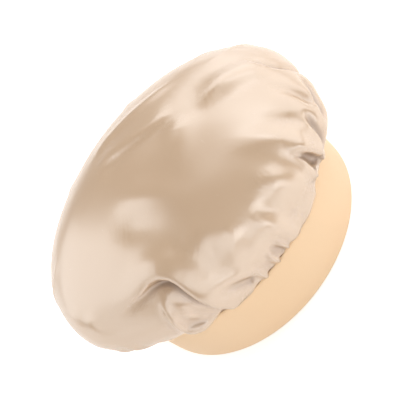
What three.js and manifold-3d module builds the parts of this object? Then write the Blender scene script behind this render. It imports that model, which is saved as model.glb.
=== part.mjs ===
import * as THREE from 'three';
import { ParametricGeometry } from 'three/addons/geometries/ParametricGeometry.js';
import { mergeVertices } from 'three/addons/utils/BufferGeometryUtils.js';
import Module from 'manifold-3d';

// Hair bonnet: a gathered satin crown and its lining, sewn into a wide jersey band
// that is folded over an elastic. Millimetres, +Z up, the front of the band faces -Y.
// The origin is the centre of the head opening, on the plane of the band's rim.

const wasm = await Module();
wasm.setup();

// Band
const bandRadius = 88; // outside, relaxed
const bandHeight = 44; // rim fold to crown seam
const jerseyPly = 0.8; // one layer of the folded strip
const rimFoldRadius = 1.2;
const joinGap = 0.4; // between the two ends of a strip at the centre back

// Elastic inside the folded band
const elasticThickness = 1.4;
const elasticSlack = 0.4; // to the outer ply
const elasticEdgeSpace = 5; // to the rim and to the seam

// Crown
const satinThickness = 0.5;
const sideOverhang = 29; // how far the crown stands out past the band
const frontOverhang = 1;
const backOverhang = 17;
const bulgeRise = 16.2; // seam to the widest level
const crownRise = 71.5; // seam to the top
const shoulderSwell = 2; // how far the upper crown stands out past its plain ellipse
const underTuck = 1.8; // how much the crown draws in towards the seam, 1 for a plain ellipse
const gatherCount = 16;
const gatherDepth = 4;
const gatherReach = 1.3; // where the gathers run out, on the climb below

// Lining
const liningThickness = 0.5;
const liningSlack = 2; // satin to lining

// Sewing
const fitGap = 0.3;
const threadDiameter = 0.4;
const seamAllowance = 7;
const seamRowDrop = 2; // stitch rows below the seam
const overlockSpace = 1.5; // overlock to the stitch rows
const overlockHang = 1; // loops past the cut edge
const stitchCount = 48;
const stitchWave = 0.3;
const gatheringWave = 0.6;
const threadEndGap = 2; // between the two ends of a row
const joinStitchLength = 5;
const joinStitchWidth = 2.5; // either side of the join

// Soft rolls with a hollow below them, where the crown sags over itself.
// Turn is in degrees from +X, climb runs from 0 at the seam over 1 at the widest level to 2 at the top.
const drapeFolds = [
  { turn: -130, climb: 1.3, halfTurn: 22, halfClimb: 0.14, depth: 4 },
  { turn: -4, climb: 1.35, halfTurn: 15, halfClimb: 0.12, depth: 3 },
  { turn: -43, climb: 1.1, halfTurn: 13, halfClimb: 0.1, depth: 3 },
];

// The full side of the crown, on the same turn and climb
const sideSwell = { turn: 168, climb: 1.3, halfTurn: 38, halfClimb: 0.38, height: 4.5 };
const topFade = 0.3; // climb over which all these forms run out at the top

// Facets round the axis, shared so that nested layers keep their gap
const sides = 48;
const threadSides = 4;

// Levels and radii that follow from the sizes above
const rowSpace = threadDiameter + 2 * fitGap;
const bandInnerRadius = bandRadius - 2 * jerseyPly - elasticSlack - elasticThickness - rowSpace;
const elasticOuterRadius = bandRadius - jerseyPly - elasticSlack;
const elasticInnerRadius = elasticOuterRadius - elasticThickness;
const seamLevel = bandHeight + fitGap;
const bulgeLevel = seamLevel + bulgeRise;
const topLevel = seamLevel + crownRise;
const allowanceEdge = seamLevel - seamAllowance;
const satinAllowanceRadius = bandInnerRadius - rowSpace;
const liningAllowanceRadius = satinAllowanceRadius - satinThickness - fitGap;
const allowanceInnerRadius = liningAllowanceRadius - liningThickness;
const rowLevel = seamLevel - seamRowDrop;
const outerRowRadius = (bandInnerRadius + satinAllowanceRadius) / 2;
const innerRowRadius = allowanceInnerRadius - rowSpace / 2;
const overlockTop = rowLevel - overlockSpace;
const overlockBottom = allowanceEdge - fitGap - overlockHang;

// Removes normals and uvs, joins shared points and drops the flat triangles at a pole
function weld(geometry) {
  geometry.deleteAttribute('normal');
  geometry.deleteAttribute('uv');
  const welded = mergeVertices(geometry, 1e-4);
  const kept = [];
  const index = welded.index.array;
  for (let i = 0; i < index.length; i += 3) {
    const [a, b, c] = [index[i], index[i + 1], index[i + 2]];
    if (a !== b && b !== c && c !== a) kept.push(a, b, c);
  }
  welded.setIndex(kept);
  welded.computeVertexNormals();
  return welded;
}

function toSolid(geometry) {
  const welded = weld(geometry);
  const vertProperties = new Float32Array(welded.attributes.position.array);
  const triVerts = new Uint32Array(welded.index.array);
  return new wasm.Manifold(new wasm.Mesh({ numProp: 3, vertProperties, triVerts }));
}

function toGeometry(solid) {
  const mesh = solid.getMesh();
  const geometry = new THREE.BufferGeometry();
  geometry.setAttribute('position', new THREE.BufferAttribute(mesh.vertProperties, 3));
  geometry.setIndex(new THREE.BufferAttribute(mesh.triVerts, 1));
  geometry.computeVertexNormals();
  return geometry;
}

// Distance to the axis of a faceted ring whose corners lie at the given radius
function facetRadius(radius, turn) {
  const step = (2 * Math.PI) / sides;
  const offset = turn - step * Math.floor(turn / step) - step / 2;
  return (radius * Math.cos(step / 2)) / Math.cos(offset);
}

function ringPoint(radius, turn, level) {
  const r = facetRadius(radius, turn);
  return new THREE.Vector3(r * Math.cos(turn), r * Math.sin(turn), level);
}

// A strip bent into a ring about Z, cut open at the centre back
function cutRing(profile) {
  const ring = new THREE.LatheGeometry([...profile, profile[0]], sides);
  ring.rotateX(Math.PI / 2);
  const cut = new THREE.BoxGeometry(joinGap, bandRadius, 4 * bandHeight);
  cut.translate(0, bandRadius, 0);
  return toGeometry(toSolid(ring).subtract(toSolid(cut)));
}

// Band strip, folded lengthwise: the fold is the rim, both cut edges meet the seam
function bandCoverGeometry() {
  const fold = Math.min(rimFoldRadius, 0.4 * (bandRadius - bandInnerRadius));
  const outerFold = new THREE.Vector2(bandRadius - fold, fold);
  const innerFold = new THREE.Vector2(bandInnerRadius + fold, fold);
  const outline = new THREE.Path();
  outline.moveTo(bandRadius - jerseyPly, bandHeight);
  outline.lineTo(bandRadius - jerseyPly, jerseyPly);
  outline.lineTo(bandInnerRadius + jerseyPly, jerseyPly);
  outline.lineTo(bandInnerRadius + jerseyPly, bandHeight);
  outline.lineTo(bandInnerRadius, bandHeight);
  outline.absarc(innerFold.x, innerFold.y, fold, -Math.PI, -Math.PI / 2, false);
  outline.absarc(outerFold.x, outerFold.y, fold, -Math.PI / 2, 0, false);
  outline.lineTo(bandRadius, bandHeight);
  return cutRing(outline.getPoints(3));
}

function bandElasticGeometry() {
  const low = elasticEdgeSpace;
  const high = bandHeight - elasticEdgeSpace;
  return cutRing([
    new THREE.Vector2(elasticOuterRadius, low),
    new THREE.Vector2(elasticOuterRadius, high),
    new THREE.Vector2(elasticInnerRadius, high),
    new THREE.Vector2(elasticInnerRadius, low),
  ]);
}

// Place of a turn and climb in a form's own measure, across and along it
function formPlace(form, turn, climb) {
  const away = THREE.MathUtils.euclideanModulo(THREE.MathUtils.radToDeg(turn) - form.turn + 180, 360) - 180;
  return [away / form.halfTurn, (climb - form.climb) / form.halfClimb];
}

// Sum of the fullness and the soft rolls at a place on the crown, none at its top point
function drape(turn, climb) {
  const [sideAcross, sideAlong] = formPlace(sideSwell, turn, climb);
  let out = sideSwell.height * Math.exp(-sideAcross * sideAcross - sideAlong * sideAlong);
  if (climb > 1) out += shoulderSwell * Math.sin((climb - 1) * Math.PI);
  for (const fold of drapeFolds) {
    const [across, along] = formPlace(fold, turn, climb);
    out += fold.depth * Math.exp(-across * across) * along * Math.exp((1 - along * along) / 2);
  }
  return out * THREE.MathUtils.smoothstep(2 - climb, 0, topFade);
}

// Gathers swell from the seam and run out on the crown
function gather(turn, climb) {
  if (climb >= gatherReach) return 0;
  const swell = (4 * climb * (gatherReach - climb)) / (gatherReach * gatherReach);
  return gatherDepth * swell * (0.5 + 0.5 * Math.cos(gatherCount * turn));
}

// A point on one skin of the crown: two quarter ellipses that meet at the widest level
function crownPoint(turn, climb, skin, target) {
  const front = bandRadius + frontOverhang - skin.inset;
  const back = bandRadius + backOverhang - skin.inset;
  const middle = (back - front) / 2;
  const wide = new THREE.Vector2(
    (bandRadius + sideOverhang - skin.inset) * Math.cos(turn),
    middle + ((back + front) / 2) * Math.sin(turn),
  );
  const place = new THREE.Vector2();
  let level;
  if (climb <= 1) {
    const swing = (climb * Math.PI) / 2;
    const start = new THREE.Vector2(Math.cos(turn), Math.sin(turn)).multiplyScalar(bandRadius - skin.inset);
    place.lerpVectors(start, wide, Math.sin(swing) ** underTuck);
    level = bulgeLevel - (bulgeLevel - skin.floor) * Math.cos(swing);
  } else {
    const swing = ((climb - 1) * Math.PI) / 2;
    place.lerpVectors(new THREE.Vector2(0, middle), wide, Math.cos(swing));
    level = bulgeLevel + (topLevel - skin.inset - bulgeLevel) * Math.sin(swing);
  }
  const out = drape(turn, climb) + (skin.gathered ? gather(turn, climb) : 0);
  target.set(place.x + out * Math.cos(turn), place.y + out * Math.sin(turn), level);
}

// A crown layer: outer skin from the top to the seam, the allowance turned down inside the band,
// and the inner skin back to the top
function crownLayerGeometry(layer) {
  const { inset, floor, thickness, allowanceRadius, gathered, upperSteps, lowerSteps } = layer;
  const outer = { inset, floor, gathered };
  const inner = { inset: inset + thickness, floor: floor + thickness, gathered };
  const steps = upperSteps + lowerSteps;
  const climbAt = (row) => (row <= upperSteps ? 2 - row / upperSteps : 1 - (row - upperSteps) / lowerSteps);
  const allowance = [
    [allowanceRadius, floor],
    [allowanceRadius, allowanceEdge],
    [allowanceRadius - thickness, allowanceEdge],
    [allowanceRadius - thickness, floor + thickness],
  ];
  const rows = 2 * steps + allowance.length + 1;
  const surface = (u, v, target) => {
    const turn = 2 * Math.PI * (1 - u);
    const row = Math.round(v * rows);
    if (row <= steps) {
      crownPoint(turn, climbAt(row), outer, target);
    } else if (row <= steps + allowance.length) {
      const [radius, level] = allowance[row - steps - 1];
      target.set(radius * Math.cos(turn), radius * Math.sin(turn), level);
    } else {
      crownPoint(turn, climbAt(rows - row), inner, target);
    }
  };
  return weld(new ParametricGeometry(surface, sides, rows));
}

function crownOuterGeometry() {
  return crownLayerGeometry({
    inset: 0,
    floor: seamLevel,
    thickness: satinThickness,
    allowanceRadius: satinAllowanceRadius,
    gathered: true,
    upperSteps: 8,
    lowerSteps: 3,
  });
}

function crownLiningGeometry() {
  return crownLayerGeometry({
    inset: satinThickness + liningSlack,
    floor: seamLevel + satinThickness + fitGap,
    thickness: liningThickness,
    allowanceRadius: liningAllowanceRadius,
    gathered: false,
    upperSteps: 6,
    lowerSteps: 2,
  });
}

// A thread's path, stepped from point to point so that each turn of a stitch is kept
class StitchPath extends THREE.CatmullRomCurve3 {
  getUtoTmapping(u) {
    return u;
  }
}

// A thread along its points, with its least distance to itself between places that are well apart on it
function threadGeometry(name, points, apart) {
  const path = new StitchPath(points, false, 'centripetal');
  const section = new THREE.Shape();
  for (let i = 0; i < threadSides; i += 1) {
    const angle = (2 * Math.PI * i) / threadSides;
    const corner = new THREE.Vector2(Math.cos(angle), Math.sin(angle)).multiplyScalar(threadDiameter / 2);
    if (i === 0) section.moveTo(corner.x, corner.y);
    else section.lineTo(corner.x, corner.y);
  }
  let least = Infinity;
  for (let i = 0; i < points.length; i += 1) {
    for (let j = i + apart; j < points.length; j += 1) least = Math.min(least, points[i].distanceTo(points[j]));
  }
  console.log(`${name}: least gap to itself ${(least - threadDiameter).toFixed(2)} mm`);
  const options = { steps: points.length - 1, extrudePath: path, bevelEnabled: false };
  return weld(new THREE.ExtrudeGeometry(section, options));
}

// Points of a row of stitches that starts and ends beside the centre back
function rowPoints(stepsPerStitch, radius, place) {
  const margin = threadEndGap / 2 / radius;
  const count = stitchCount * stepsPerStitch;
  const points = [];
  for (let i = 0; i <= count; i += 1) {
    const turn = Math.PI / 2 + margin + ((2 * Math.PI - 2 * margin) * i) / count;
    points.push(place(turn, i % stepsPerStitch));
  }
  return points;
}

function seamThreadGeometry() {
  const heights = [0, stitchWave, 0, -stitchWave];
  const place = (turn, step) => ringPoint(outerRowRadius, turn, rowLevel + heights[step]);
  return threadGeometry('seam_thread', rowPoints(heights.length, outerRowRadius, place), heights.length);
}

function gatheringThreadGeometry() {
  const lifts = [0, gatheringWave / 2, gatheringWave, gatheringWave / 2];
  const place = (turn, step) => ringPoint(innerRowRadius - lifts[step], turn, rowLevel);
  return threadGeometry('gathering_thread', rowPoints(lifts.length, innerRowRadius, place), lifts.length);
}

// Overlock: the thread goes down one face of the allowances, round their cut edges, up the other face and back
function overlockThreadGeometry() {
  const edge = allowanceEdge - fitGap;
  const middleRadius = (outerRowRadius + innerRowRadius) / 2;
  const down = [
    [outerRowRadius, overlockTop],
    [outerRowRadius, edge],
    [middleRadius, overlockBottom],
    [innerRowRadius, edge],
  ];
  const back = [[innerRowRadius, overlockTop], ...down.slice(1).reverse()];
  const route = [...down, ...back];
  const place = (turn, step) => ringPoint(route[step][0], turn, route[step][1]);
  return threadGeometry('overlock_thread', rowPoints(route.length, middleRadius, place), route.length);
}

// Zigzag over a join at the centre back
function joinThreadGeometry(name, radius, low, high) {
  const steps = 4;
  const stitches = Math.max(2, Math.round((high - low) / joinStitchLength));
  const points = [];
  for (let i = 0; i <= stitches * steps; i += 1) {
    const across = joinStitchWidth * Math.sin((2 * Math.PI * i) / steps);
    const level = THREE.MathUtils.lerp(low, high, i / (stitches * steps));
    points.push(ringPoint(radius, Math.PI / 2 - across / radius, level));
  }
  return threadGeometry(name, points, steps);
}

function bandJoinThreadGeometry() {
  const low = rimFoldRadius + joinStitchLength / 2;
  const high = overlockBottom - rowSpace;
  return joinThreadGeometry('band_join_thread', outerRowRadius, low, high);
}

function elasticJoinThreadGeometry() {
  const low = elasticEdgeSpace + rowSpace;
  const high = bandHeight - elasticEdgeSpace - rowSpace;
  return joinThreadGeometry('elastic_join_thread', elasticInnerRadius - rowSpace / 2, low, high);
}

function piece(name, geometry, color, roughness) {
  const mesh = new THREE.Mesh(geometry, new THREE.MeshStandardMaterial({ color, roughness, metalness: 0 }));
  mesh.name = name;
  return mesh;
}

const champagne = 0xdfc7ae;
const peach = 0xf8dcb3;
const white = 0xf3efe6;
const sand = 0xe9d2b6;

const bonnet = new THREE.Group();
bonnet.name = 'hair_bonnet';
bonnet.add(
  piece('crown_outer', crownOuterGeometry(), champagne, 0.35),
  piece('crown_lining', crownLiningGeometry(), champagne, 0.4),
  piece('band_cover', bandCoverGeometry(), peach, 0.85),
  piece('band_elastic', bandElasticGeometry(), white, 0.8),
  piece('seam_thread', seamThreadGeometry(), sand, 0.6),
  piece('gathering_thread', gatheringThreadGeometry(), sand, 0.6),
  piece('overlock_thread', overlockThreadGeometry(), sand, 0.6),
  piece('band_join_thread', bandJoinThreadGeometry(), peach, 0.6),
  piece('elastic_join_thread', elasticJoinThreadGeometry(), white, 0.6),
);

export default bonnet;
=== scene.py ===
import math

import bmesh
import bpy
import numpy as np
from mathutils import Matrix, Vector
from mathutils.bvhtree import BVHTree


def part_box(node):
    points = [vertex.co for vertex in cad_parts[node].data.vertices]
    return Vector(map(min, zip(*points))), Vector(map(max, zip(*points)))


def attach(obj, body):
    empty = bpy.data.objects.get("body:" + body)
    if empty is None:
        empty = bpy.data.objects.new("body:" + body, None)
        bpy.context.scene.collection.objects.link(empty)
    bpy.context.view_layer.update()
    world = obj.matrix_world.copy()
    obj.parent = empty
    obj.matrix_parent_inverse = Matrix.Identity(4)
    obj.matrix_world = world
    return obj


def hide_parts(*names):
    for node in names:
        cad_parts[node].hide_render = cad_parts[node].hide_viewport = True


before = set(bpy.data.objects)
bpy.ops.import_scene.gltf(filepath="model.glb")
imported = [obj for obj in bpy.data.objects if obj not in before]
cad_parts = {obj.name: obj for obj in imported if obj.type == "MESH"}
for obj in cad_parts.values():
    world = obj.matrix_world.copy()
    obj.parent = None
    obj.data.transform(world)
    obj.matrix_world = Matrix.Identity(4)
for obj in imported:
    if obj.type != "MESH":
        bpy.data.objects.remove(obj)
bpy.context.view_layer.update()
scene = bpy.context.scene
scene.view_settings.view_transform = "Standard"

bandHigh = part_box("band_cover")[1]
bandRadius = bandHigh.x
bandTop = bandHigh.z
seamGap = 0.0003
seamLevel = bandTop + seamGap
print("frame loaded")


# small helpers

def readPoints(data):
    flatList = np.empty(len(data) * 3)
    data.foreach_get("co", flatList)
    return flatList.reshape(-1, 3)


def writePoints(data, points):
    data.foreach_set("co", np.asarray(points, dtype=float).ravel())


def vertexNormals(mesh):
    mesh.update()
    normals = np.empty(len(mesh.vertices) * 3)
    mesh.vertices.foreach_get("normal", normals)
    return normals.reshape(-1, 3)


def meshFrom(bm, name):
    mesh = bpy.data.meshes.new(name)
    bm.to_mesh(mesh)
    bm.free()
    return mesh


def loopVertices(mesh):
    loops = np.empty(len(mesh.loops), dtype=int)
    mesh.loops.foreach_get("vertex_index", loops)
    return loops


def addMap(mesh, places):
    # a map in metres, one place for each loop
    mesh.uv_layers.new(name="cloth").data.foreach_set("uv", np.asarray(places, dtype=float).ravel())


def addPiece(name, mesh, material, nodes):
    piece = bpy.data.objects.new(name, mesh)
    scene.collection.objects.link(piece)
    mesh.materials.clear()
    mesh.materials.append(material)
    mesh.shade_smooth()
    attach(piece, "root")
    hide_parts(*nodes)
    return piece


def addWall(piece, thickness, offset):
    wall = piece.modifiers.new("wall", "SOLIDIFY")
    wall.thickness = thickness
    wall.offset = offset


def smoothVerts(bm, verts):
    bmesh.ops.smooth_vert(bm, verts=verts, factor=0.5, use_axis_x=True, use_axis_y=True, use_axis_z=True)


def ease(x):
    x = np.clip(x, 0, 1)
    return x * x * (3 - 2 * x)


# shader helpers

def addNode(tree, kind, links=None, **values):
    node = tree.nodes.new(kind)
    for key, value in values.items():
        setattr(node, key, value)
    for socket, source in (links or {}).items():
        if isinstance(source, bpy.types.NodeSocket):
            tree.links.new(source, node.inputs[socket])
        else:
            node.inputs[socket].default_value = source
    return node


def mathNode(tree, operation, *values):
    return addNode(tree, "ShaderNodeMath", dict(enumerate(values)), operation=operation).outputs[0]


def mixColours(tree, factor, first, second):
    mix = addNode(tree, "ShaderNodeMix", {0: factor, 6: first, 7: second}, data_type="RGBA")
    return mix.outputs[2]


def spread(tree, value, low, high):
    return addNode(tree, "ShaderNodeMapRange", {"Value": value, "To Min": low, "To Max": high}).outputs[0]


def newMaterial(name):
    material = bpy.data.materials.new(name)
    material.use_nodes = True
    tree = material.node_tree
    return material, tree, tree.nodes["Principled BSDF"]


def newGroup(name, vectors, numbers, results):
    # vectors and numbers name its inputs, results its outputs
    group = bpy.data.node_groups.new(name, "ShaderNodeTree")
    for label in vectors:
        group.interface.new_socket(label, in_out="INPUT", socket_type="NodeSocketVector")
    for label in numbers:
        group.interface.new_socket(label, in_out="INPUT", socket_type="NodeSocketFloat")
    for label in results:
        group.interface.new_socket(label, in_out="OUTPUT", socket_type="NodeSocketFloat")
    return group, group.nodes.new("NodeGroupInput").outputs, group.nodes.new("NodeGroupOutput").inputs


def placeGroup(tree, group, links):
    return addNode(tree, "ShaderNodeGroup", links, node_tree=group).outputs


def weighted(tree, first, firstShare, second, secondShare):
    return mathNode(tree, "ADD", mathNode(tree, "MULTIPLY", first, firstShare),
                    mathNode(tree, "MULTIPLY", second, secondShare))


def addBump(tree, shader, height, strength, distance):
    bump = addNode(tree, "ShaderNodeBump", {"Height": height, "Strength": strength, "Distance": distance})
    tree.links.new(bump.outputs[0], shader.inputs["Normal"])


def setSheen(shader, look):
    shader.inputs["Sheen Weight"].default_value = look["sheen"]
    shader.inputs["Sheen Tint"].default_value = look["sheenTint"]
    shader.inputs["Sheen Roughness"].default_value = look["sheenRoughness"]
    shader.inputs["Specular IOR Level"].default_value = look["specular"]


# effects that several materials share

def makeWeaveGroup():
    # fine threads that cross each other, from a map in metres
    group, given, out = newGroup(
        "fineWeave", ["Map"], ["Threads per metre", "Float length"], ["Height", "Slub"])
    split = addNode(group, "ShaderNodeSeparateXYZ", {0: given["Map"]})
    turns = mathNode(group, "MULTIPLY", given["Threads per metre"], 2 * math.pi)
    across = mathNode(group, "MULTIPLY", split.outputs["X"], turns)
    run = mathNode(group, "MULTIPLY", split.outputs["Y"], turns)
    along = mathNode(group, "DIVIDE", run, given["Float length"])
    warp = mathNode(group, "ABSOLUTE", mathNode(group, "SINE", mathNode(group, "MULTIPLY", across, 0.5)))
    weft = mathNode(group, "SINE", mathNode(group, "ADD", along, mathNode(group, "MULTIPLY", across, 0.4)))
    group.links.new(weighted(group, warp, 1.0, weft, 0.25), out["Height"])
    stretch = addNode(group, "ShaderNodeMapping", {"Vector": given["Map"], "Scale": (2200, 60, 1)})
    slub = addNode(group, "ShaderNodeTexNoise", {"Vector": stretch.outputs[0], "Scale": 1.0, "Detail": 2.0})
    group.links.new(slub.outputs["Fac"], out["Slub"])
    return group


def makeCloudGroup():
    # slow changes of tone over the cloth
    group, given, out = newGroup("dyeCloud", ["Place"], ["Scale", "Detail"], ["Tone"])
    links = {"Vector": given["Place"], "Scale": given["Scale"], "Detail": given["Detail"]}
    cloud = addNode(group, "ShaderNodeTexNoise", links)
    group.links.new(cloud.outputs["Fac"], out["Tone"])
    return group


def makeCreaseShadeGroup():
    # painted shade mask: 1 on open cloth, less in narrow creases, from ambient occlusion
    group, given, out = newGroup("creaseShade", [], ["Reach", "Power"], ["Openness"])
    hollow = addNode(group, "ShaderNodeAmbientOcclusion", {"Distance": given["Reach"]}, only_local=True)
    group.links.new(mathNode(group, "POWER", hollow.outputs["AO"], given["Power"]), out["Openness"])
    return group


def makeTwistGroup():
    # plied thread: slanting bands and loose fibres
    group, given, out = newGroup("threadTwist", ["Place"], [], ["Ply", "Fibre"])
    ply = addNode(group, "ShaderNodeTexWave", {"Vector": given["Place"], "Scale": 700.0, "Distortion": 2.0},
                  bands_direction="DIAGONAL")
    fibre = addNode(group, "ShaderNodeTexNoise", {"Vector": given["Place"], "Scale": 4000.0, "Detail": 2.0})
    group.links.new(ply.outputs["Fac"], out["Ply"])
    group.links.new(fibre.outputs["Fac"], out["Fibre"])
    return group


weaveGroup = makeWeaveGroup()
cloudGroup = makeCloudGroup()
creaseShadeGroup = makeCreaseShadeGroup()
twistGroup = makeTwistGroup()


# satin of the crown and its lining

satinLook = {
    "pale": (0.605, 0.424, 0.275, 1),
    "deep": (0.545, 0.37, 0.232, 1),
    # colour of the painted shade in creases
    "paintedCreaseShade": (0.16, 0.08, 0.04, 1),
    "creaseShadeReach": 0.006,
    "creaseShadePower": 2.2,
    "creaseDulling": 0.4,
    "roughness": (0.27, 0.275),
    "ior": 1.8,
    "specular": 1.0,
    "sheen": 0.06,
    "sheenTint": (1, 0.93, 0.85, 1),
    "sheenRoughness": 0.4,
    "threadsPerMetre": 2600,
    "floatLength": 5.0,
    "slubShare": 0.05,
    "cloudShare": 0.95,
    "cloudScale": 14.0,
    "cloudDetail": 3.0,
    "bump": (0.006, 0.0002),  # strength and depth
}
liningLook = dict(satinLook, pale=(0.7, 0.51, 0.35, 1), deep=(0.64, 0.45, 0.3, 1), roughness=(0.34, 0.42))


def makeSatin(name, look):
    material, tree, shader = newMaterial(name)
    uv = addNode(tree, "ShaderNodeUVMap", uv_map="cloth")
    place = addNode(tree, "ShaderNodeTexCoord")
    weave = placeGroup(tree, weaveGroup, {
        "Map": uv.outputs[0],
        "Threads per metre": look["threadsPerMetre"],
        "Float length": look["floatLength"]})
    cloud = placeGroup(tree, cloudGroup, {
        "Place": place.outputs["Object"], "Scale": look["cloudScale"], "Detail": look["cloudDetail"]})
    paintedCreaseShade = placeGroup(tree, creaseShadeGroup, {"Reach": look["creaseShadeReach"], "Power": look["creaseShadePower"]})
    tone = weighted(tree, weave["Slub"], look["slubShare"], cloud["Tone"], look["cloudShare"])
    cloth = mixColours(tree, tone, look["deep"], look["pale"])
    # painted shade: the cloth colour darkens towards deep brown in narrow creases
    shaded = mixColours(tree, paintedCreaseShade["Openness"], look["paintedCreaseShade"], cloth)
    tree.links.new(shaded, shader.inputs["Base Color"])
    plain = spread(tree, weave["Slub"], *look["roughness"])
    closed = mathNode(tree, "SUBTRACT", 1.0, paintedCreaseShade["Openness"])
    dulled = mathNode(tree, "MULTIPLY", closed, look["creaseDulling"])
    tree.links.new(mathNode(tree, "ADD", plain, dulled), shader.inputs["Roughness"])
    addBump(tree, shader, weave["Height"], *look["bump"])
    setSheen(shader, look)
    shader.inputs["IOR"].default_value = look["ior"]
    return material


# jersey of the band

jerseyLook = {
    "pale": (0.91, 0.668, 0.435, 1),
    "deep": (0.87, 0.605, 0.373, 1),
    "walesPerMetre": 1300,
    "coursesPerMetre": 1600,
    "slant": 1.6,
    "grooveFill": 0.3,
    "loopShare": 0.4,
    "cloudShare": 0.6,
    "cloudScale": 22.0,
    "cloudDetail": 4.0,
    "fuzzScale": 1500.0,
    "fuzzRelief": 0.4,
    "roughness": (0.68, 0.86),
    "bump": (0.25, 0.0002),
    "specular": 0.3,
    "sheen": 0.35,
    "sheenTint": (1, 0.92, 0.8, 1),
    "sheenRoughness": 0.5,
}


def makeJersey(name, look):
    # knitted loops: each wale is a row of small v shapes
    material, tree, shader = newMaterial(name)
    uv = addNode(tree, "ShaderNodeUVMap", uv_map="cloth")
    split = addNode(tree, "ShaderNodeSeparateXYZ", {0: uv.outputs[0]})
    wale = mathNode(tree, "FRACT", mathNode(tree, "MULTIPLY", split.outputs["X"], look["walesPerMetre"]))
    leg = mathNode(tree, "ABSOLUTE", mathNode(tree, "SUBTRACT", wale, 0.5))
    course = mathNode(tree, "MULTIPLY", split.outputs["Y"], look["coursesPerMetre"])
    slant = mathNode(tree, "ADD", course, mathNode(tree, "MULTIPLY", leg, look["slant"]))
    loop = mathNode(tree, "ABSOLUTE", mathNode(tree, "SINE", mathNode(tree, "MULTIPLY", slant, math.pi)))
    groove = mathNode(tree, "SINE", mathNode(tree, "MULTIPLY", leg, 2 * math.pi))
    height = mathNode(tree, "MULTIPLY", loop, mathNode(tree, "ADD", groove, look["grooveFill"]))
    place = addNode(tree, "ShaderNodeTexCoord").outputs["Object"]
    cloud = placeGroup(tree, cloudGroup, {
        "Place": place, "Scale": look["cloudScale"], "Detail": look["cloudDetail"]})
    links = {"Vector": place, "Scale": look["fuzzScale"], "Detail": 2.0}
    fuzz = addNode(tree, "ShaderNodeTexNoise", links).outputs["Fac"]
    tone = weighted(tree, cloud["Tone"], look["cloudShare"], height, look["loopShare"])
    tree.links.new(mixColours(tree, tone, look["deep"], look["pale"]), shader.inputs["Base Color"])
    tree.links.new(spread(tree, fuzz, *look["roughness"]), shader.inputs["Roughness"])
    addBump(tree, shader, weighted(tree, height, 1.0, fuzz, look["fuzzRelief"]), *look["bump"])
    setSheen(shader, look)
    return material


# woven elastic

elasticLook = {
    "pale": (0.86, 0.84, 0.79, 1),
    "deep": (0.7, 0.67, 0.61, 1),
    "radius": 0.0861,
    "cordsPerMetre": 900,
    "floatLength": 2.0,
    "roughness": (0.7, 0.9),
    "bump": (0.6, 0.0004),
}


def makeElastic(name, look):
    # rubber cords round the head, bound by yarn
    material, tree, shader = newMaterial(name)
    place = addNode(tree, "ShaderNodeTexCoord")
    split = addNode(tree, "ShaderNodeSeparateXYZ", {0: place.outputs["Object"]})
    turn = mathNode(tree, "ARCTAN2", split.outputs["Y"], split.outputs["X"])
    girth = mathNode(tree, "MULTIPLY", turn, look["radius"])
    spot = addNode(tree, "ShaderNodeCombineXYZ", {"X": split.outputs["Z"], "Y": girth})
    weave = placeGroup(tree, weaveGroup, {
        "Map": spot.outputs[0],
        "Threads per metre": look["cordsPerMetre"],
        "Float length": look["floatLength"]})
    colour = mixColours(tree, weave["Height"], look["deep"], look["pale"])
    tree.links.new(colour, shader.inputs["Base Color"])
    tree.links.new(spread(tree, weave["Slub"], *look["roughness"]), shader.inputs["Roughness"])
    addBump(tree, shader, weave["Height"], *look["bump"])
    return material


# sewing thread

threadLook = {
    "roughness": (0.45, 0.65),
    "bump": (0.4, 0.0001),
    "sheen": 0.2,
}


def makeThread(name, deep, pale):
    material, tree, shader = newMaterial(name)
    place = addNode(tree, "ShaderNodeTexCoord")
    twist = placeGroup(tree, twistGroup, {"Place": place.outputs["Object"]})
    tree.links.new(mixColours(tree, twist["Ply"], deep, pale), shader.inputs["Base Color"])
    tree.links.new(spread(tree, twist["Fibre"], *threadLook["roughness"]), shader.inputs["Roughness"])
    addBump(tree, shader, twist["Ply"], *threadLook["bump"])
    shader.inputs["Sheen Weight"].default_value = threadLook["sheen"]
    return material


satin = makeSatin("champagneSatin", satinLook)
liningSatin = makeSatin("liningSatin", liningLook)
jersey = makeJersey("peachJersey", jerseyLook)
elasticWeave = makeElastic("wovenElastic", elasticLook)
sandThread = makeThread("sandThread", (0.66, 0.5, 0.35, 1), (0.82, 0.66, 0.49, 1))
peachThread = makeThread("peachThread", (0.8, 0.58, 0.34, 1), (0.94, 0.74, 0.48, 1))
whiteThread = makeThread("whiteThread", (0.72, 0.7, 0.65, 1), (0.88, 0.86, 0.81, 1))
print("materials made")


# camera: the photograph's view, from the front and above, turned about its axis

view = {
    "elevation": 38.12,
    "roll": 52.97,
    "distance": 1.6,
    "target": (0, 0.015, 0.05),
    "offset": (0.00394, -0.00036),  # of the picture's centre from the target, right and up
    "width": 0.27474,  # metres across the picture at the target
    "pixels": 400,
}


def makeCamera():
    tilt = math.radians(view["elevation"])
    back = Vector((0, -math.cos(tilt), math.sin(tilt)))
    turnBack = Matrix.Rotation(-math.radians(view["roll"]), 3, back)
    right = turnBack @ Vector((1, 0, 0))
    up = back.cross(right)
    centre = Vector(view["target"]) + right * view["offset"][0] + up * view["offset"][1]
    data = bpy.data.cameras.new("camera")
    data.sensor_width = 36
    data.lens = data.sensor_width * view["distance"] / view["width"]
    data.clip_start = 0.1
    data.clip_end = 20
    camera = bpy.data.objects.new("camera", data)
    rows = Matrix((right, up, back)).transposed()
    camera.matrix_world = Matrix.Translation(centre + back * view["distance"]) @ rows.to_4x4()
    scene.collection.objects.link(camera)
    scene.camera = camera
    return right, up, back


viewRight, viewUp, viewBack = makeCamera()


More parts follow.
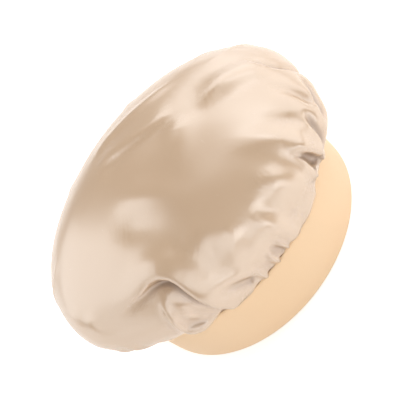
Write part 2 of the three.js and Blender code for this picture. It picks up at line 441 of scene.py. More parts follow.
def toPicture(points):
    # pixels of the photograph, and how near the camera a point is
    centre = Vector(view["target"]) + viewRight * view["offset"][0] + viewUp * view["offset"][1]
    away = points - np.array(centre)
    depth = away @ np.array(viewBack)
    grow = view["pixels"] / view["width"] / (1 - depth / view["distance"])
    across = view["pixels"] / 2 + away @ np.array(viewRight) * grow
    down = view["pixels"] / 2 - away @ np.array(viewUp) * grow
    return np.stack([across, down], -1), depth


# crown: a satin disc gathered into the band

crown = {
    "innerSteps": 70,  # of the square grid in the middle of the cut
    "rings": 21,  # round that grid
    "innerShare": 0.62,
    "halfWidth": 0.1172,
    "frontReach": 0.089,
    "backReach": 0.105,
    "bulgeLevel": 0.0605,
    "topLevel": 0.1135,
    "gathers": 36,
    "gatherDepth": (0.001, 0.0035),
    "gatherWidth": (2.4, 4.4),  # degrees
    "gatherReach": (0.6, 1.1),
    "drawnShare": 0.75,  # of the depth that the drawn folds take over
    "drawnMiddle": -55,  # turn at the middle of the drawn side, its half and its fade, in degrees
    "drawnHalf": 62,
    "drawnFade": 15,
    "backGathers": {
        "gathers": 46,
        "gatherDepth": (0.0008, 0.0026),
        "gatherWidth": (1.6, 3.0),
        "gatherReach": (0.9, 1.5),
        "drawnShare": 1,
    },
    "crimp": 0.001,  # zigzag of the edge in the seam
    "flare": 1.05,  # climb where the cut widens
    "flareSpread": 0.95,
    "thickness": 0.0005,
    # radius and level of each ring of the seam allowance
    "allowance": [(0.0864, 0.0444), (0.0838, 0.0444), (0.0826, 0.0436), (0.0826, 0.0405), (0.0826, 0.0373)],
    "allowanceStep": 0.0025,  # of cloth from ring to ring
    "clearBand": 0.0899,  # least radius of cloth that hangs below the seam
    "clearDepth": 0.0001,  # how far below the seam that begins
    "frames": 40,
    "pressure": 1.0,
    "goal": 0.07,  # how much the loose cloth keeps to its start
    "seed": 5,
    "smoothShare": 0.66,  # of the cut that lies smooth
    "smoothSteps": 8,
}
edgeShare = 0.9999  # cloth within this share of the cut's reach is loose
flatRing = 0.01  # width of an allowance ring on the unit disc

# Broad swells of the full crown: pixel of the photograph, radius and height in metres
crownSwells = [
    {"at": (56, 285), "size": 0.05, "height": 0.004},
    {"at": (95, 345), "size": 0.03, "height": 0.0028},
    {"at": (295, 60), "size": 0.022, "height": -0.0035},
    {"at": (322, 118), "size": 0.018, "height": 0.004},
]

# Folds that the photograph shows, drawn in its pixels; heights and widths in metres.
# A roll stands out on the left of its path, dips on the right and leans over the dip.
# under: width on the right of the path; lean: how far it leans, in metres;
# ends: parts of the path over which the fold runs out; toSeam: it runs on, straight down to the seam.
crownFolds = [
    {"name": "faceShoulder", "kind": "ridge", "height": 0.002, "width": 0.013, "ends": (0.45, 0.3),
     "path": [(170, 250), (188, 244), (208, 239), (230, 236), (252, 234)]},
    {"name": "lobeGroove", "kind": "groove", "height": 0.002, "width": 0.012, "ends": (0.3, 0.75),
     "path": [(104, 234), (124, 228), (142, 226), (160, 225), (180, 226), (205, 228)]},
    {"name": "lobeRidge", "kind": "ridge", "height": 0.0014, "width": 0.011, "ends": (0.35, 0.6),
     "path": [(104, 206), (122, 199), (142, 195), (162, 195), (182, 198), (200, 202)]},
    {"name": "wedgeRoll", "kind": "roll", "height": 0.0016, "width": 0.01, "under": 0.012,
     "ends": (0.3, 0.2),
     "path": [(94, 176), (108, 160), (126, 146), (148, 130), (176, 110)]},
    {"name": "edgeRidge", "kind": "ridge", "height": 0.0012, "width": 0.006, "ends": (0.3, 0.3),
     "path": [(86, 168), (102, 143), (126, 117), (154, 94), (180, 74)]},
    {"name": "middleShoulder", "kind": "ridge", "height": 0.0018, "width": 0.013, "ends": (0.3, 0.6),
     "path": [(178, 112), (177, 132), (175, 155), (172, 182)]},
    {"name": "upperFold", "kind": "ridge", "height": 0.0044, "width": 0.014, "under": 0.009,
     "ends": (0.45, 0.3),
     "path": [(190, 106), (206, 95), (222, 84), (240, 75), (260, 68), (282, 65)]},
    {"name": "sCrease", "kind": "roll", "height": 0.0072, "width": 0.009, "under": 0.01, "lean": 0.007,
     "ends": (0.45, 0.12),
     "path": [(108, 324), (120, 313), (134, 298), (145, 281), (156, 273), (168, 272),
              (180, 278), (190, 287), (203, 296), (219, 302), (236, 302), (248, 298)]},
    {"name": "pouchFold", "kind": "groove", "height": 0.0014, "width": 0.003, "ends": (0.5, 0.2),
     "path": [(166, 303), (180, 310), (197, 314), (218, 314), (238, 307)]},
    {"name": "pouchStreak", "kind": "groove", "height": 0.0009, "width": 0.0028, "ends": (0.5, 0.3),
     "path": [(172, 316), (184, 321), (198, 323), (214, 319)]},
    {"name": "pouchLip", "kind": "ridge", "height": 0.0034, "width": 0.003, "ends": (0.4, 0.3),
     "path": [(158, 298), (163, 307), (170, 318), (179, 327), (190, 332), (203, 330),
              (216, 323), (228, 314)]},
    {"name": "flapHollow", "kind": "groove", "height": 0.0048, "width": 0.006, "under": 0.002,
     "ends": (0.45, 0.2), "toSeam": True,
     "path": [(240, 57), (256, 59), (272, 64), (291, 67)]},
    {"name": "edgePleat", "kind": "groove", "height": 0.0045, "width": 0.0035, "under": 0.002,
     "ends": (0.5, 0.3),
     "path": [(293, 69), (304, 78), (313, 88), (320, 99), (325, 111), (328, 124)]},
    {"name": "sideFlap", "kind": "groove", "height": 0.0044, "width": 0.0035, "under": 0.002,
     "ends": (0.4, 0.25),
     "path": [(305, 106), (308, 115), (314, 122), (322, 132), (327, 144), (329, 156)]},
    {"name": "upperStreak", "kind": "groove", "height": 0.0036, "width": 0.005, "ends": (0.7, 0.3),
     "path": [(252, 86), (276, 86), (297, 90), (311, 97), (321, 108)]},
    {"name": "dimple", "kind": "groove", "height": 0.0018, "width": 0.006, "ends": (0.7, 0.4),
     "path": [(242, 120), (270, 118), (292, 118), (312, 121)]},
    {"name": "longRidge", "kind": "ridge", "height": 0.0028, "width": 0.0085, "ends": (0.7, 0.15),
     "path": [(205, 146), (235, 142), (262, 139), (290, 140), (316, 146)]},
    {"name": "rightRoll", "kind": "roll", "height": 0.004, "width": 0.007, "under": 0.006,
     "ends": (0.5, 0.05),
     "path": [(282, 150), (294, 151), (304, 153), (314, 156), (327, 161)]},
    {"name": "rightHollow", "kind": "groove", "height": 0.0028, "width": 0.003, "ends": (0.5, 0.05),
     "path": [(297, 155), (306, 157), (316, 160), (327, 165)]},
    {"name": "rightLip", "kind": "ridge", "height": 0.0028, "width": 0.0045, "ends": (0.35, 0.1),
     "path": [(284, 149), (296, 157), (305, 165), (312, 172), (318, 179)]},
    {"name": "paleShoulder", "kind": "ridge", "height": 0.0028, "width": 0.009, "ends": (0.5, 0.2),
     "path": [(244, 180), (268, 180), (292, 182), (314, 188)]},
    {"name": "lowStreak", "kind": "groove", "height": 0.0014, "width": 0.006, "ends": (0.5, 0.1),
     "path": [(246, 208), (264, 209), (282, 210), (300, 214)]},
    {"name": "lowRidge", "kind": "ridge", "height": 0.0026, "width": 0.006, "ends": (0.6, 0.05),
     "path": [(244, 217), (262, 223), (282, 229), (300, 234)]},
    {"name": "seamSwell", "kind": "ridge", "height": 0.003, "width": 0.006, "ends": (0.3, 0.3),
     "path": [(318, 182), (313, 198), (307, 214), (299, 230)]},
    {"name": "crimpOne", "kind": "ridge", "height": 0.0032, "width": 0.0022, "ends": (0.6, 0.02),
     "path": [(270, 243), (280, 244), (289, 246)]},
    {"name": "crimpTwo", "kind": "groove", "height": 0.0012, "width": 0.0022, "ends": (0.6, 0.02),
     "path": [(268, 249), (277, 250), (286, 252)]},
    {"name": "crimpThree", "kind": "ridge", "height": 0.0032, "width": 0.0022, "ends": (0.6, 0.02),
     "path": [(264, 256), (273, 258), (282, 261)]},
    {"name": "crimpFour", "kind": "groove", "height": 0.0012, "width": 0.0022, "ends": (0.6, 0.02),
     "path": [(260, 264), (268, 266), (277, 270)]},
    {"name": "crimpFive", "kind": "ridge", "height": 0.0032, "width": 0.0022, "ends": (0.6, 0.02),
     "path": [(250, 272), (259, 274), (268, 277)]},
    {"name": "seamPocket", "kind": "groove", "height": 0.0025, "width": 0.0035, "ends": (0.7, 0.1),
     "path": [(208, 300), (226, 292), (242, 285), (256, 281)]},
    {"name": "seamRidge", "kind": "ridge", "height": 0.0015, "width": 0.0045, "ends": (0.7, 0.1),
     "path": [(200, 296), (218, 286), (236, 278), (258, 273)]},
    {"name": "bottomCrease", "kind": "ridge", "height": 0.001, "width": 0.007, "ends": (0.5, 0.5),
     "path": [(84, 310), (90, 321), (95, 331), (99, 341)]},
]


def crownShape(turn, climb, inset=0.0):
    # climb runs from 0 at the seam over 1 at the widest level to 2 at the top
    front = crown["frontReach"] - inset
    back = crown["backReach"] - inset
    middle = (back - front) / 2
    way = np.stack([np.cos(turn), np.sin(turn)], -1)
    start = (bandRadius - inset) * way
    wide = way * [crown["halfWidth"] - inset, (back + front) / 2] + [0, middle]
    low = (np.clip(climb, 0, 1) * np.pi / 2)[..., None]
    high = (np.clip(climb - 1, 0, 1) * np.pi / 2)[..., None]
    under = climb <= 1
    upperPlace = [0, middle] + (wide - [0, middle]) * np.cos(high)
    place = np.where(under[..., None], start + (wide - start) * np.sin(low), upperPlace)
    lowerRise = crown["bulgeLevel"] - seamLevel - inset
    upperRise = crown["topLevel"] - inset - crown["bulgeLevel"]
    level = np.where(under, -lowerRise * np.cos(low[..., 0]), upperRise * np.sin(high[..., 0]))
    return np.concatenate([place, (crown["bulgeLevel"] + level)[..., None]], -1)


# cloth length from the top of the crown, on a table of turns and climbs
tableTurns = np.linspace(-np.pi, np.pi, 361)
tableClimbs = np.linspace(2, 0, 201)
tableSteps = np.diff(crownShape(*np.meshgrid(tableTurns, tableClimbs, indexing="ij")), axis=1)
tableArc = np.pad(np.cumsum(np.linalg.norm(tableSteps, axis=2), 1), ((0, 0), (1, 0)))


def tableRow(turn):
    return np.round((turn + np.pi) / (2 * np.pi) * 360).astype(int)


def arcAt(turn, climb):
    return np.array([np.interp(-c, -tableClimbs, tableArc[r]) for c, r in zip(climb, tableRow(turn))])


def discGrid(steps, rings, innerShare, allowanceRings):
    # a rounded square grid in the middle, with rings drawn out of its edge to a unit circle,
    # and the seam allowance outside it
    rounding = 0.4
    bm = bmesh.new()
    bmesh.ops.create_grid(bm, x_segments=steps, y_segments=steps, size=1)
    for vert in bm.verts:
        x, y = vert.co.x, vert.co.y
        vert.co.x = innerShare * x * math.sqrt(1 - rounding * y * y)
        vert.co.y = innerShare * y * math.sqrt(1 - rounding * x * x)
    edge = [e for e in bm.edges if e.is_boundary]
    for ring in range(1, rings + allowanceRings + 1):
        made = bmesh.ops.extrude_edge_only(bm, edges=edge)["geom"]
        edge = [g for g in made if isinstance(g, bmesh.types.BMEdge) and g.is_boundary]
        for vert in {v for e in edge for v in e.verts}:
            if ring <= rings:
                vert.co = vert.co.lerp(vert.co.normalized(), 1 / (rings + 1 - ring))
            else:
                vert.co = vert.co.normalized() * (1 + flatRing * (ring - rings))
    bmesh.ops.recalc_face_normals(bm, faces=bm.faces)
    bm.faces.ensure_lookup_table()
    if bm.faces[0].normal.z < 0:
        bmesh.ops.reverse_faces(bm, faces=bm.faces)
    return bm


def clothPlaces(points):
    # share of the cut's reach, turn, climb and flat place of each point, and its allowance ring
    away = np.hypot(points[:, 0], points[:, 1])
    ring = np.round(np.maximum(away - 1, 0) / flatRing).astype(int)
    share = np.minimum(away, 1)
    turn = np.arctan2(points[:, 1], points[:, 0])
    arcs = tableArc[tableRow(turn)]
    climb = np.array([np.interp(s * arc[-1], arc, tableClimbs) for s, arc in zip(share, arcs)])
    reach = np.interp(turn, tableTurns, tableArc[:, -1]) * share + crown["allowanceStep"] * ring
    cut = np.stack([reach * np.cos(turn), reach * np.sin(turn)], -1)
    return share, turn, climb, cut, ring


def putAllowance(points, turn, ring, profile):
    for step, (radius, level) in enumerate(profile, 1):
        here = ring == step
        points[here] = np.stack([radius * np.cos(turn[here]), radius * np.sin(turn[here]),
                                 np.full(here.sum(), level)], -1)


def drawnSide(turn):
    # 1 where the folds are drawn from the photograph, 0 elsewhere
    away = np.abs((turn - math.radians(crown["drawnMiddle"]) + np.pi) % (2 * np.pi) - np.pi)
    return np.clip(1 - (away - math.radians(crown["drawnHalf"])) / math.radians(crown["drawnFade"]), 0, 1)


def cutShape(turn, climb, ring):
    # the crown before gathering: its lower part opens out to the full width of the cloth
    upper = np.maximum(climb, crown["flare"])
    shape = crownShape(turn, upper)
    extra = arcAt(turn, climb) - arcAt(turn, upper) + crown["allowanceStep"] * ring
    flare = crown["flareSpread"]
    shape[:, 0] += np.cos(turn) * extra * flare
    shape[:, 1] += np.sin(turn) * extra * flare
    shape[:, 2] -= extra * math.sqrt(1 - flare * flare)
    return shape


def gatherSeeds(turn, climb, look, seed):
    # how far the gathers stand out: none at the seam and past their reach
    draw = np.random.default_rng(seed)
    out = np.zeros_like(turn)
    for i in range(look["gathers"]):
        middle = 2 * np.pi * (i + draw.uniform(-0.35, 0.35)) / look["gathers"]
        depth = draw.uniform(*look["gatherDepth"]) * (1 - look["drawnShare"] * drawnSide(middle))
        width = math.radians(draw.uniform(*look["gatherWidth"]))
        reach = draw.uniform(*look["gatherReach"])
        bend = draw.uniform(-0.06, 0.06)
        away = (turn - middle - bend * climb + np.pi) % (2 * np.pi) - np.pi
        rise = np.clip((reach - climb) / reach, 0, 1)
        out += depth * np.exp(-(away / width) ** 2) * np.sin(np.pi * rise ** 0.7) ** 0.8
    return out


def simulate(cloth, loose, cutPoints):
    cloth.shape_key_add(name="Basis")
    cutKey = cloth.shape_key_add(name="cut")
    writePoints(cutKey.data, cutPoints)
    cutKey.value = 0
    held = cloth.vertex_groups.new(name="held")
    held.add([int(i) for i in np.where(loose)[0]], crown["goal"], "REPLACE")
    held.add([int(i) for i in np.where(~loose)[0]], 1.0, "REPLACE")
    modifier = cloth.modifiers.new("cloth", "CLOTH")
    settings = modifier.settings
    settings.quality = 6
    settings.mass = 0.02
    settings.tension_stiffness = 15
    settings.compression_stiffness = 15
    settings.shear_stiffness = 5
    settings.bending_stiffness = 0.05
    settings.vertex_group_mass = "held"
    settings.pin_stiffness = 0.05
    settings.rest_shape_key = cutKey
    settings.use_pressure = True
    settings.uniform_pressure_force = crown["pressure"]
    settings.effector_weights.gravity = 0
    modifier.collision_settings.use_collision = False
    modifier.collision_settings.use_self_collision = False
    modifier.point_cache.frame_start = 1
    modifier.point_cache.frame_end = crown["frames"]
    for step in range(1, crown["frames"] + 1):
        scene.frame_set(step)
    settled = readPoints(cloth.evaluated_get(bpy.context.evaluated_depsgraph_get()).data.vertices)
    cloth.modifiers.clear()
    cloth.shape_key_clear()
    writePoints(cloth.data.vertices, settled)
    scene.frame_set(1)


drawing = {
    "nearPixels": 1.5,  # how close a point shows at a pixel
    "stepsPerPoint": 10,
    "smoothing": 24,
    "stepsToSeam": 17,
    "rollSteepness": 2.5,
    "rollReach": 1.3,  # in widths, as the next two
    "leanMiddle": 0.35,
    "leanReach": 0.6,
    "freeLimit": 0.4,  # looseness that counts as free
}


def seenPoints(pixels, points, picture, depth):
    # the nearest points of the cloth that show at the pixels
    found = []
    for pixel in pixels:
        away = np.hypot(*(picture - pixel).T)
        near = np.where(away < away.min() + drawing["nearPixels"])[0]
        found.append(points[near[np.argmax(depth[near])]])
    return np.array(found)


def downToSeam(start, points):
    # points of the cloth straight below the start
    turn = math.atan2(start[1], start[0])
    outward = points @ [math.cos(turn), math.sin(turn), 0]
    below = points[outward > bandRadius]
    sideways = below @ [-math.sin(turn), math.cos(turn), 0]
    levels = np.linspace(start[2], seamLevel, drawing["stepsToSeam"] + 1)[1:]
    return np.array([below[np.argmin(np.hypot(sideways, below[:, 2] - level))] for level in levels])


def drawnPath(fold, points, picture, depth):
    # a smooth path on the cloth through the picture's points
    pixels = np.array(fold["path"], dtype=float)
    steps = np.linspace(0, len(pixels) - 1, drawing["stepsPerPoint"] * len(pixels))
    dense = np.stack([np.interp(steps, range(len(pixels)), pixels[:, k]) for k in (0, 1)], -1)
    path = seenPoints(dense, points, picture, depth)
    if fold.get("toSeam"):
        path = np.concatenate([path, downToSeam(path[-1], points)])
    for _ in range(drawing["smoothing"]):
        path[1:-1] = (path[:-2] + 2 * path[1:-1] + path[2:]) / 4
    return path


def drawFold(fold, points, normals, picture, depth):
    path = drawnPath(fold, points, picture, depth)
    reach = 3 * fold["width"]
    close = np.where(np.all((points > path.min(0) - reach) & (points < path.max(0) + reach), 1))[0]
    away = points[close, None, :] - path[None]
    distance = np.linalg.norm(away, axis=2)
    nearest = distance.argmin(1)
    rows = np.arange(len(close))
    ahead = np.gradient(path, axis=0)
    ahead /= np.linalg.norm(ahead, axis=1)[:, None] + 1e-9
    normal = normals[close]
    leftward = np.cross(normal, ahead[nearest])
    side = np.sign(np.einsum("ij,ij->i", away[rows, nearest], leftward))
    along = nearest / (len(path) - 1)
    width = np.where(side < 0, fold.get("under", fold["width"]), fold["width"])
    x = side * distance[rows, nearest] / width
    startFade, endFade = fold["ends"]
    fade = ease(along / startFade) * ease((1 - along) / endFade)
    lift = np.exp(-x * x)
    if fold["kind"] == "roll":
        lift = np.tanh(drawing["rollSteepness"] * x) * np.exp(-(x / drawing["rollReach"]) ** 2)
    elif fold["kind"] == "groove":
        lift = -lift
    moved = points.copy()
    moved[close] += normal * (fold["height"] * lift * fade)[:, None]
    if "lean" in fold:
        over = np.exp(-((x - drawing["leanMiddle"]) / drawing["leanReach"]) ** 2) * fade
        moved[close] -= leftward * (fold["lean"] * over)[:, None]
    return moved


def smoothTop(mesh, top):
    # the upper crown lies smooth
    bm = bmesh.new()
    bm.from_mesh(mesh)
    bm.verts.ensure_lookup_table()
    verts = [bm.verts[int(i)] for i in np.where(top)[0]]
    for _ in range(crown["smoothSteps"]):
        smoothVerts(bm, verts)
    bm.to_mesh(mesh)
    bm.free()


def refined(cloth):
    # one smooth subdivision, kept as the mesh
    smooth = cloth.modifiers.new("smooth", "SUBSURF")
    smooth.levels = smooth.render_levels = 1
    evaluated = cloth.evaluated_get(bpy.context.evaluated_depsgraph_get())
    mesh = bpy.data.meshes.new_from_object(evaluated)
    bpy.data.objects.remove(cloth)
    return mesh


def clearOfBand(points, free):
    # cloth that hangs below the seam stays outside the band
    away = np.hypot(points[:, 0], points[:, 1])
    below = points[:, 2] < seamLevel - crown["clearDepth"]
    inside = free & below & (away < crown["clearBand"])
    points[inside, :2] *= (crown["clearBand"] / away[inside])[:, None]
    return points


def gatherCrown():
    # the cut laid on the crown's shape, gathered into the seam and settled as cloth
    bm = discGrid(crown["innerSteps"], crown["rings"], crown["innerShare"], len(crown["allowance"]))
    mesh = meshFrom(bm, "crownCut")
    share, turn, climb, cut, ring = clothPlaces(readPoints(mesh.vertices))
    points = crownShape(turn, climb)
    loose = share < edgeShare
    outward = np.where(loose, gatherSeeds(turn, climb, crown, crown["seed"]),
                       crown["crimp"] * np.sin(1.5 * crown["gathers"] * turn))
    points[:, :2] += np.stack([np.cos(turn), np.sin(turn)], -1) * outward[:, None]
    putAllowance(points, turn, ring, crown["allowance"])
    writePoints(mesh.vertices, points)
    addMap(mesh, cut[loopVertices(mesh)])
    marks = mesh.attributes.new("loose", "FLOAT", "POINT")
    marks.data.foreach_set("value", loose.astype(float))
    cloth = bpy.data.objects.new("crownCloth", mesh)
    scene.collection.objects.link(cloth)
    simulate(cloth, loose, cutShape(turn, climb, ring))
    smoothTop(mesh, share < crown["smoothShare"])
    behind = ease(2 * np.sin(turn)) * loose
    lift = gatherSeeds(turn, climb, crown["backGathers"], crown["seed"]) * behind
    writePoints(mesh.vertices, readPoints(mesh.vertices) + vertexNormals(mesh) * lift[:, None])
    return refined(cloth)


def drawCrown(mesh):
    # the swells and folds of the photograph
    free = np.empty(len(mesh.vertices))
    mesh.attributes["loose"].data.foreach_get("value", free)
    points = readPoints(mesh.vertices)
    picture, depth = toPicture(points)
    normals = vertexNormals(mesh)
    for swell in crownSwells:
        centre = seenPoints([swell["at"]], points, picture, depth)[0]
        away = np.linalg.norm(points - centre, axis=1) / swell["size"]
        points += normals * (swell["height"] * np.exp(-away * away) * free)[:, None]
    writePoints(mesh.vertices, points)
    for fold in crownFolds:
        normals = vertexNormals(mesh)
        picture, depth = toPicture(points)
        moved = drawFold(fold, points, normals, picture, depth)
        points = points + (moved - points) * ease(free * 2)[:, None]
        writePoints(mesh.vertices, points)
    writePoints(mesh.vertices, clearOfBand(points, free > drawing["freeLimit"]))
    mesh.attributes.remove(mesh.attributes["loose"])
    mesh.update()


crownMesh = gatherCrown()
drawCrown(crownMesh)
crownPiece = addPiece("crown_satin", crownMesh, satin, ["crown_outer"])
addWall(crownPiece, crown["thickness"], -1)
print("crown gathered")


# lining: the same cut, a little smaller, inside the crown

lining = {
    "innerSteps": 44,
    "rings": 16,
    "innerShare": 0.62,
    "inset": 0.0045,
    "gathers": 40,
    "gatherDepth": (0.0008, 0.0024),
    "gatherWidth": (2.0, 4.0),
    "gatherReach": (0.7, 1.3),
    "drawnShare": 0,
    "seed": 11,
    "thickness": 0.0005,
    "clearCrown": 0.0022,  # least distance to the crown
    "clearSteps": 3,
    "allowance": [(0.0826, 0.0465), (0.0819, 0.0448), (0.0818, 0.0425), (0.0818, 0.0398), (0.0818, 0.0373)],
}


def pushInside(verts, skin, gap):
    # verts nearer than the gap to the skin move in
    for vert in verts:
        place, normal, _, _ = skin.find_nearest(vert.co)
        if (vert.co - place).dot(normal) > -gap:
            vert.co = place - normal * gap


def makeLining():
    bm = discGrid(lining["innerSteps"], lining["rings"], lining["innerShare"], len(lining["allowance"]))
    mesh = meshFrom(bm, "liningCut")
    share, turn, climb, cut, ring = clothPlaces(readPoints(mesh.vertices))
    points = crownShape(turn, climb, lining["inset"])
    inward = gatherSeeds(turn, climb, lining, lining["seed"])
    points[:, :2] -= np.stack([np.cos(turn), np.sin(turn)], -1) * inward[:, None]
    putAllowance(points, turn, ring, lining["allowance"])
    writePoints(mesh.vertices, points)
    addMap(mesh, cut[loopVertices(mesh)])
    outer = bmesh.new()
    outer.from_mesh(crownMesh)
    skin = BVHTree.FromBMesh(outer)
    bm = bmesh.new()
    bm.from_mesh(mesh)
    bm.verts.ensure_lookup_table()
    loose = [bm.verts[int(i)] for i in np.where(share < edgeShare)[0]]
    for _ in range(lining["clearSteps"]):
        pushInside(loose, skin, lining["clearCrown"])
        smoothVerts(bm, loose)
    pushInside(loose, skin, lining["clearCrown"])
    outer.free()
    bm.to_mesh(mesh)
    bm.free()
    return mesh


liningPiece = addPiece("crown_lining_satin", makeLining(), liningSatin, ["crown_lining"])
addWall(liningPiece, lining["thickness"], -1)
smooth = liningPiece.modifiers.new("smooth", "SUBSURF")
smooth.levels = smooth.render_levels = 1
print("lining set")


# band: a jersey strip folded over the elastic

band = {
    "segments": 192,
    "ply": 0.0008,
    "innerRadius": 0.0836,
    "plump": 0.0013,  # swell of the outer ply
    "innerPlump": 0.0003,
    "outerSteps": 18,
    "foldSteps": 9,
    "innerSteps": 12,
    "pucker": 0.0003,  # ripple where the seam draws the strip in
    "puckers": 66,
    "puckerStart": 0.55,  # share of the height
    "joinGroove": 0.0006,
    "joinWidth": 0.0012,
}


def bandProfile(outer, inner):
    # radius and level along the strip: down outside, round the fold and up inside
    fold = (outer - inner) / 2
    low = fold + band["ply"] / 2
    profile = []
    for t in np.linspace(0, 1, band["outerSteps"]):
        swell = band["plump"] * math.sin(math.pi * t) ** 0.8
        profile.append((outer + swell, bandTop + (low - bandTop) * t))
    for angle in np.linspace(0, math.pi, band["foldSteps"])[1:-1]:
        profile.append((inner + fold + fold * math.cos(angle), low - fold * math.sin(angle)))
    for t in np.linspace(0, 1, band["innerSteps"]):
        profile.append((inner - band["innerPlump"] * math.sin(math.pi * t), low + (bandTop - low) * t))
    return profile


def makeBand():
    outer = bandRadius - band["ply"] / 2
    inner = band["innerRadius"] + band["ply"] / 2
    profile = bandProfile(outer, inner)
    bm = bmesh.new()
    verts = [bm.verts.new((0, radius, level)) for radius, level in profile]
    edges = [bm.edges.new(pair) for pair in zip(verts, verts[1:])]
    bmesh.ops.spin(bm, geom=verts + edges, cent=(0, 0, 0), axis=(0, 0, 1), angle=2 * math.pi,
                   steps=band["segments"], use_merge=True, use_duplicate=False)
    bmesh.ops.remove_doubles(bm, verts=bm.verts, dist=1e-6)
    bmesh.ops.recalc_face_normals(bm, faces=bm.faces)
    mesh = meshFrom(bm, "bandStrip")
    points = readPoints(mesh.vertices)
    turn = np.arctan2(points[:, 1], points[:, 0])
    radius = np.hypot(points[:, 0], points[:, 1])
    middle = (outer + inner) / 2
    upper = ease((points[:, 2] / bandTop - band["puckerStart"]) / (1 - band["puckerStart"]))
    outside = np.where(radius > middle, 1, -1)
    fromBack = (turn - np.pi / 2 + np.pi) % (2 * np.pi) - np.pi
    move = band["pucker"] * np.sin(band["puckers"] * turn) * upper * outside
    move -= band["joinGroove"] * np.exp(-(fromBack * bandRadius / band["joinWidth"]) ** 2) * outside
    points[:, :2] *= (1 + move / radius)[:, None]
    writePoints(mesh.vertices, points)
    loops = loopVertices(mesh)
    across = turn[loops].reshape(-1, 4)
    across = across[:, :1] + (across - across[:, :1] + np.pi) % (2 * np.pi) - np.pi
    along = np.where(radius > middle, bandTop - points[:, 2], bandTop + points[:, 2])[loops]
    addMap(mesh, np.stack([across.ravel() * bandRadius, along], -1))
    return mesh


bandPiece = addPiece("band_jersey", makeBand(), jersey, ["band_cover"])
addWall(bandPiece, band["ply"], 0)
print("band folded")


# elastic: the frame's own ring with its weave

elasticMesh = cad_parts["band_elastic"].data
elasticMesh.materials.clear()
elasticMesh.materials.append(elasticWeave)


# stitches: rows of thread round the seam, and zigzags over the two joins at the centre back

stitches = {
    "threadRadius": 0.0002,
    "rowLevel": 0.0423,
    "outerRow": 0.0831,
    "innerRow": 0.0808,
    "seamCount": 190,
    "seamWave": 0.0003,
    "gatheringCount": 120,
    "gatheringWave": 0.0006,
    "overlockCount": 150,
    "overlockTop": 0.0408,
    "overlockEdge": 0.037,
    "overlockBottom": 0.036,
    "endGap": 0.002,
    "joinCount": 16,
    "joinWidth": 0.0025,
    "bandJoin": (0.0831, 0.0037, 0.035),  # radius, lowest and highest level
    "elasticJoin": (0.0849, 0.006, 0.038),
}


def rowPath(count, route):
    # route: radius and level at each step of one stitch
    margin = stitches["endGap"] / 2 / stitches["outerRow"]
    steps = np.arange(count * len(route) + 1)
    turn = np.pi / 2 + margin + (2 * np.pi - 2 * margin) * steps / steps[-1]
    radius, level = np.array(route)[steps % len(route)].T
    return np.stack([radius * np.cos(turn), radius * np.sin(turn), level], -1)


def zigzagPath(radius, low, high):
    steps = np.arange(2 * stitches["joinCount"] + 1)
    turn = np.pi / 2 - stitches["joinWidth"] / radius * np.where(steps % 2, 1, -1)
    level = low + (high - low) * steps / steps[-1]
    return np.stack([radius * np.cos(turn), radius * np.sin(turn), level], -1)


def addStitches(name, path, material, node):
    curve = bpy.data.curves.new(name, "CURVE")
    curve.dimensions = "3D"
    curve.bevel_depth = stitches["threadRadius"]
    curve.bevel_resolution = 1
    curve.use_fill_caps = True
    spline = curve.splines.new("POLY")
    spline.points.add(len(path) - 1)
    spline.points.foreach_set("co", np.pad(path, ((0, 0), (0, 1)), constant_values=1).ravel())
    holder = bpy.data.objects.new(name + "Path", curve)
    scene.collection.objects.link(holder)
    evaluated = holder.evaluated_get(bpy.context.evaluated_depsgraph_get())
    mesh = bpy.data.meshes.new_from_object(evaluated)
    bpy.data.objects.remove(holder)
    addPiece(name, mesh, material, [node])


def makeStitches():
    outer, inner, level = stitches["outerRow"], stitches["innerRow"], stitches["rowLevel"]
    wave = stitches["seamWave"]
    route = [(outer, level), (outer, level + wave), (outer, level), (outer, level - wave)]
    addStitches("seam_stitches", rowPath(stitches["seamCount"], route), sandThread, "seam_thread")
    wave = stitches["gatheringWave"]
    route = [(inner, level), (inner - wave / 2, level), (inner - wave, level), (inner - wave / 2, level)]
    path = rowPath(stitches["gatheringCount"], route)
    addStitches("gathering_stitches", path, sandThread, "gathering_thread")
    top, edge, bottom = stitches["overlockTop"], stitches["overlockEdge"], stitches["overlockBottom"]
    middle = (outer + inner) / 2
    route = [(outer, top), (outer, edge), (middle, bottom), (inner, edge),
             (inner, top), (inner, edge), (middle, bottom), (outer, edge)]
    path = rowPath(stitches["overlockCount"], route)
    addStitches("overlock_stitches", path, sandThread, "overlock_thread")
    path = zigzagPath(*stitches["bandJoin"])
    addStitches("band_join_stitches", path, peachThread, "band_join_thread")
    path = zigzagPath(*stitches["elasticJoin"])
    addStitches("elastic_join_stitches", path, whiteThread, "elastic_join_thread")


makeStitches()
print("stitches sewn")


# studio: white floor, soft lamps

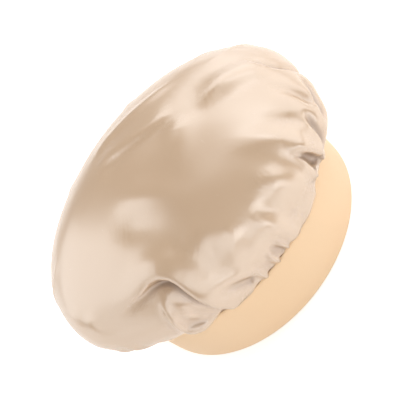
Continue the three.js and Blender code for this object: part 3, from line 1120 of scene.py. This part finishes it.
studio = {
    "floorSize": 6,
    "floorColour": (0.85, 0.85, 0.85, 1),
    "floorRoughness": 0.9,
    "floorGlow": 0.4,
    # painted reflection: a pool of the floor glows brighter, seen only in reflections
    "poolCentre": (0.45, -1, 0),  # of the bright part that the satin mirrors
    "poolReach": (0.9, 1.25),
    "poolGlow": (1.0, 0.4),  # in the pool and round it
    "ambient": 0.225,
    # where each lamp stands and how its length lies: right, up and towards the camera
    "lamps": [
        {"name": "topLamp", "from": (-0.02, 1, 0.02), "along": (0.67, 0, 0.74), "distance": 1.2,
         "size": (2.4, 1.25), "power": 18.8},
        {"name": "fillLamp", "from": (-0.3, 0.82, 0.45), "along": (0.7, 0.1, 0.3), "distance": 1.3,
         "size": (0.9, 0.7), "power": 1.8},
        {"name": "leftLamp", "from": (-0.99, 0, -0.11), "along": (0.3, -0.12, -0.9), "distance": 1.2,
         "size": (1.5, 0.92), "power": 8},
        {"name": "frontLamp", "from": (0, -0.21, 0.97), "along": (0.95, -0.25, 0), "distance": 1.5,
         "size": (1.55, 1.0), "power": 8.2},
        {"name": "rightLamp", "from": (0.52, 0.12, 0.84), "along": (0.85, 0, -0.52), "distance": 1.3,
         "size": (0.7, 0.7), "power": 3.3},
        {"name": "lowLamp", "from": (-0.68, -0.66, 0.25), "along": (0.7, -0.7, 0), "distance": 1.3,
         "size": (1.2, 0.8), "power": 4},
    ],
}


def makeFloor():
    bm = bmesh.new()
    bmesh.ops.create_grid(bm, x_segments=1, y_segments=1, size=studio["floorSize"])
    floor = bpy.data.objects.new("floor", meshFrom(bm, "floor"))
    scene.collection.objects.link(floor)
    material, tree, shader = newMaterial("whiteFloor")
    shader.inputs["Base Color"].default_value = studio["floorColour"]
    shader.inputs["Roughness"].default_value = studio["floorRoughness"]
    path = addNode(tree, "ShaderNodeLightPath")
    mirrored = mathNode(tree, "MAXIMUM", path.outputs["Is Glossy Ray"], path.outputs["Is Transmission Ray"])
    # painted reflection: the floor glows brighter in a pool beside the crown, for reflected rays only
    place = addNode(tree, "ShaderNodeTexCoord")
    distance = addNode(tree, "ShaderNodeVectorMath", {0: place.outputs["Object"], 1: studio["poolCentre"]},
                       operation="DISTANCE")
    near, far = studio["poolReach"]
    inside, around = studio["poolGlow"]
    links = {"Value": distance.outputs["Value"], "From Min": near, "From Max": far,
             "To Min": inside, "To Max": around}
    pool = addNode(tree, "ShaderNodeMapRange", links, interpolation_type="SMOOTHSTEP")
    mirrored = mathNode(tree, "MULTIPLY", mirrored, pool.outputs["Result"])
    seen = mathNode(tree, "MULTIPLY", path.outputs["Is Camera Ray"], studio["floorGlow"])
    shader.inputs["Emission Color"].default_value = (1, 1, 1, 1)
    tree.links.new(mathNode(tree, "ADD", seen, mirrored), shader.inputs["Emission Strength"])
    floor.data.materials.append(material)


def makeWorld():
    world = bpy.data.worlds.new("studioWorld")
    world.use_nodes = True
    sky = world.node_tree.nodes["Background"]
    sky.inputs["Color"].default_value = (1, 1, 1, 1)
    path = addNode(world.node_tree, "ShaderNodeLightPath")
    strength = spread(world.node_tree, path.outputs["Is Camera Ray"], studio["ambient"], 1.0)
    world.node_tree.links.new(strength, sky.inputs["Strength"])
    scene.world = world


def makeLamps():
    target = Vector(view["target"])
    axes = Matrix((viewRight, viewUp, viewBack)).transposed()
    for lamp in studio["lamps"]:
        way = (axes @ Vector(lamp["from"])).normalized()
        across = way.cross(axes @ Vector(lamp["along"])).normalized()
        data = bpy.data.lights.new(lamp["name"], "AREA")
        data.shape = "RECTANGLE"
        data.size, data.size_y = lamp["size"]
        data.energy = lamp["power"]
        light = bpy.data.objects.new(lamp["name"], data)
        turned = Matrix((across.cross(way), across, way)).transposed()
        light.matrix_world = Matrix.Translation(target + way * lamp["distance"]) @ turned.to_4x4()
        scene.collection.objects.link(light)


makeFloor()
makeWorld()
makeLamps()
print("studio set")
